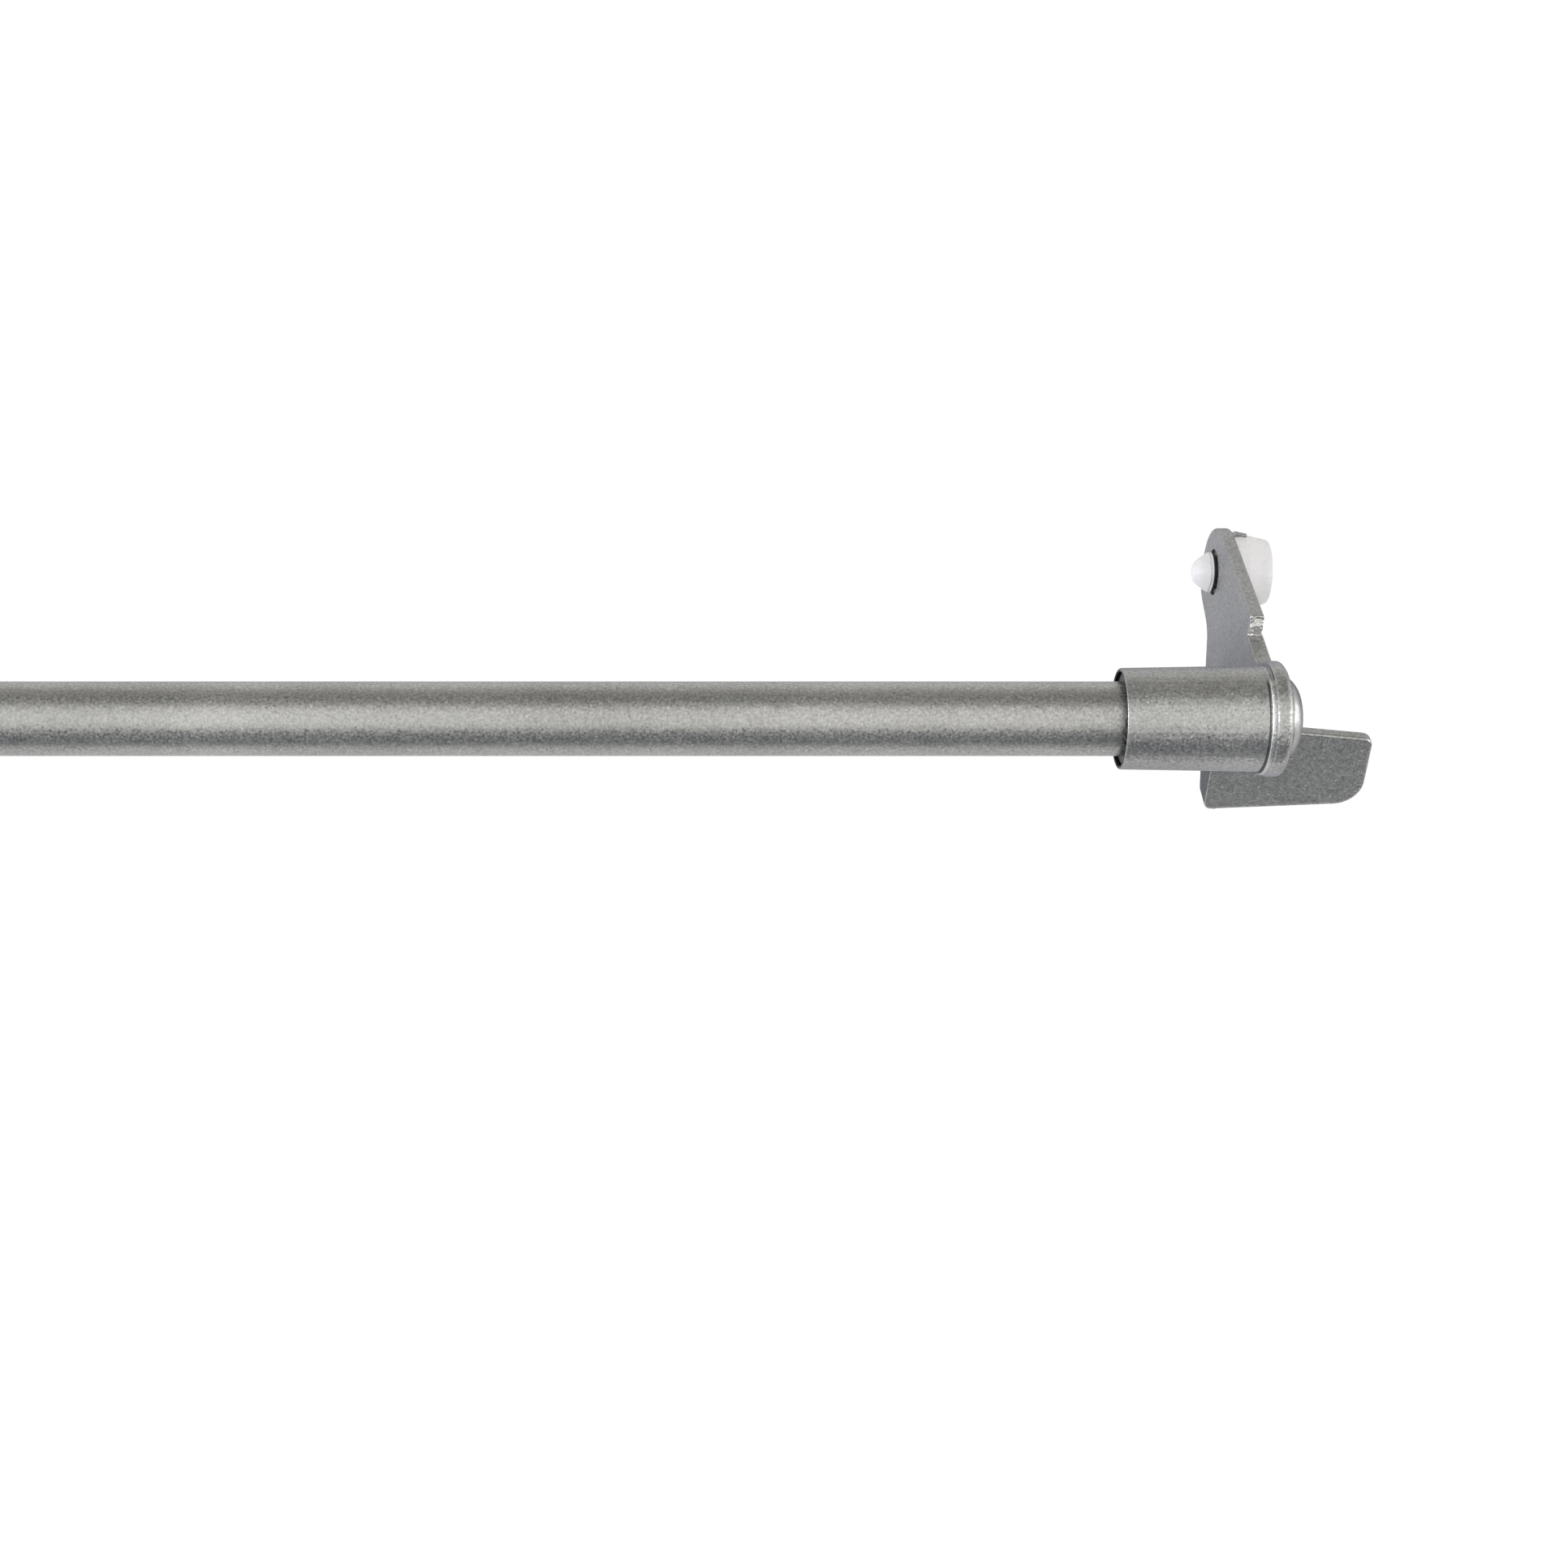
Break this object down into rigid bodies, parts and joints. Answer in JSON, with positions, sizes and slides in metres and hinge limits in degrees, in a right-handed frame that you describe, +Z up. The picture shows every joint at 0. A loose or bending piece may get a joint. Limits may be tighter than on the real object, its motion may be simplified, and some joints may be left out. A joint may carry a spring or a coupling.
{
  "type": "tension window sash rod",
  "caption": "Slim telescopic spring tension rod for a sash curtain, with swivelling cast brackets that press clear bumpers against the sides of a glazing recess.",
  "frame": {"origin": "on the rear face of the left foot plate, in the plane of the left bumper's outer face, midway up the foot", "axes": "+X along the rod to the right end, +Y back towards the window, +Z up"},
  "size_m": [0.5916, 0.0522, 0.0406],
  "materials": {
    "painted_tube": "fine metallic paint, warm pewter grey, satin",
    "painted_casting": "fine metallic paint on a zinc casting, satin",
    "painted_screw": "glossy",
    "clear_bumper": "clear soft plastic, slightly frosted",
    "grey_plastic": "fine matte",
    "black_plastic": "matte",
    "white_plastic": "matte",
    "bright_steel": "turned, zinc plated",
    "spring_steel": "drawn wire"
  },
  "bodies": {
    "left_end": {"left_bracket": "painted_casting", "left_bumper": "clear_bumper"},
    "thick_tube": {"outer_tube": "painted_tube", "left_tube_plug": "black_plastic", "left_pivot_screw": "painted_screw", "left_thrust_washer": "black_plastic", "outer_tube_guide": "grey_plastic"},
    "lock": {"lock_sleeve": "white_plastic"},
    "wedge": {"lock_wedge": "white_plastic"},
    "spindle": {"lock_spindle": "bright_steel", "lock_end_clip": "bright_steel", "spindle_piston": "black_plastic"},
    "thin_tube": {"inner_tube": "painted_tube", "inner_tube_bush": "black_plastic", "spring_seat": "black_plastic", "tension_spring": "spring_steel", "socket_adapter": "grey_plastic", "right_tube_plug": "black_plastic", "right_thrust_washer": "black_plastic", "right_pivot_screw": "painted_screw"},
    "right_end": {"right_bracket": "painted_casting", "right_bumper": "clear_bumper"}
  },
  "joints": [
    {"name": "left_swivel", "type": "hinge", "parent": "left_end", "child": "thick_tube", "pos_m": [0, -0.0213, 0.0248], "axis": [1, 0, 0], "continuous": true},
    {"name": "length_slide", "type": "slide", "parent": "thick_tube", "child": "lock", "axis": [1, 0, 0], "range_m": [-0.15, 0.04]},
    {"name": "lock_twist", "type": "hinge", "parent": "lock", "child": "spindle", "pos_m": [0.23, -0.0213, 0.0248], "axis": [1, 0, 0], "range_deg": [-360, 0]},
    {"name": "wedge_travel", "type": "slide", "parent": "lock", "child": "wedge", "axis": [1, 0, 0], "range_m": [0, 0.0016]},
    {"name": "spring_stroke", "type": "slide", "parent": "spindle", "child": "thin_tube", "axis": [1, 0, 0], "range_m": [-0.01, 0], "stiffness_N_per_m": 1500, "springref_m": 0.02, "deforming": ["tension_spring"]},
    {"name": "right_swivel", "type": "hinge", "parent": "thin_tube", "child": "right_end", "pos_m": [0.5521, -0.0213, 0.0248], "axis": [1, 0, 0], "continuous": true}
  ],
  "couplings": [
    {"joint": "wedge_travel", "follows": "lock_twist", "m_per_rad": -0.000254}
  ]
}
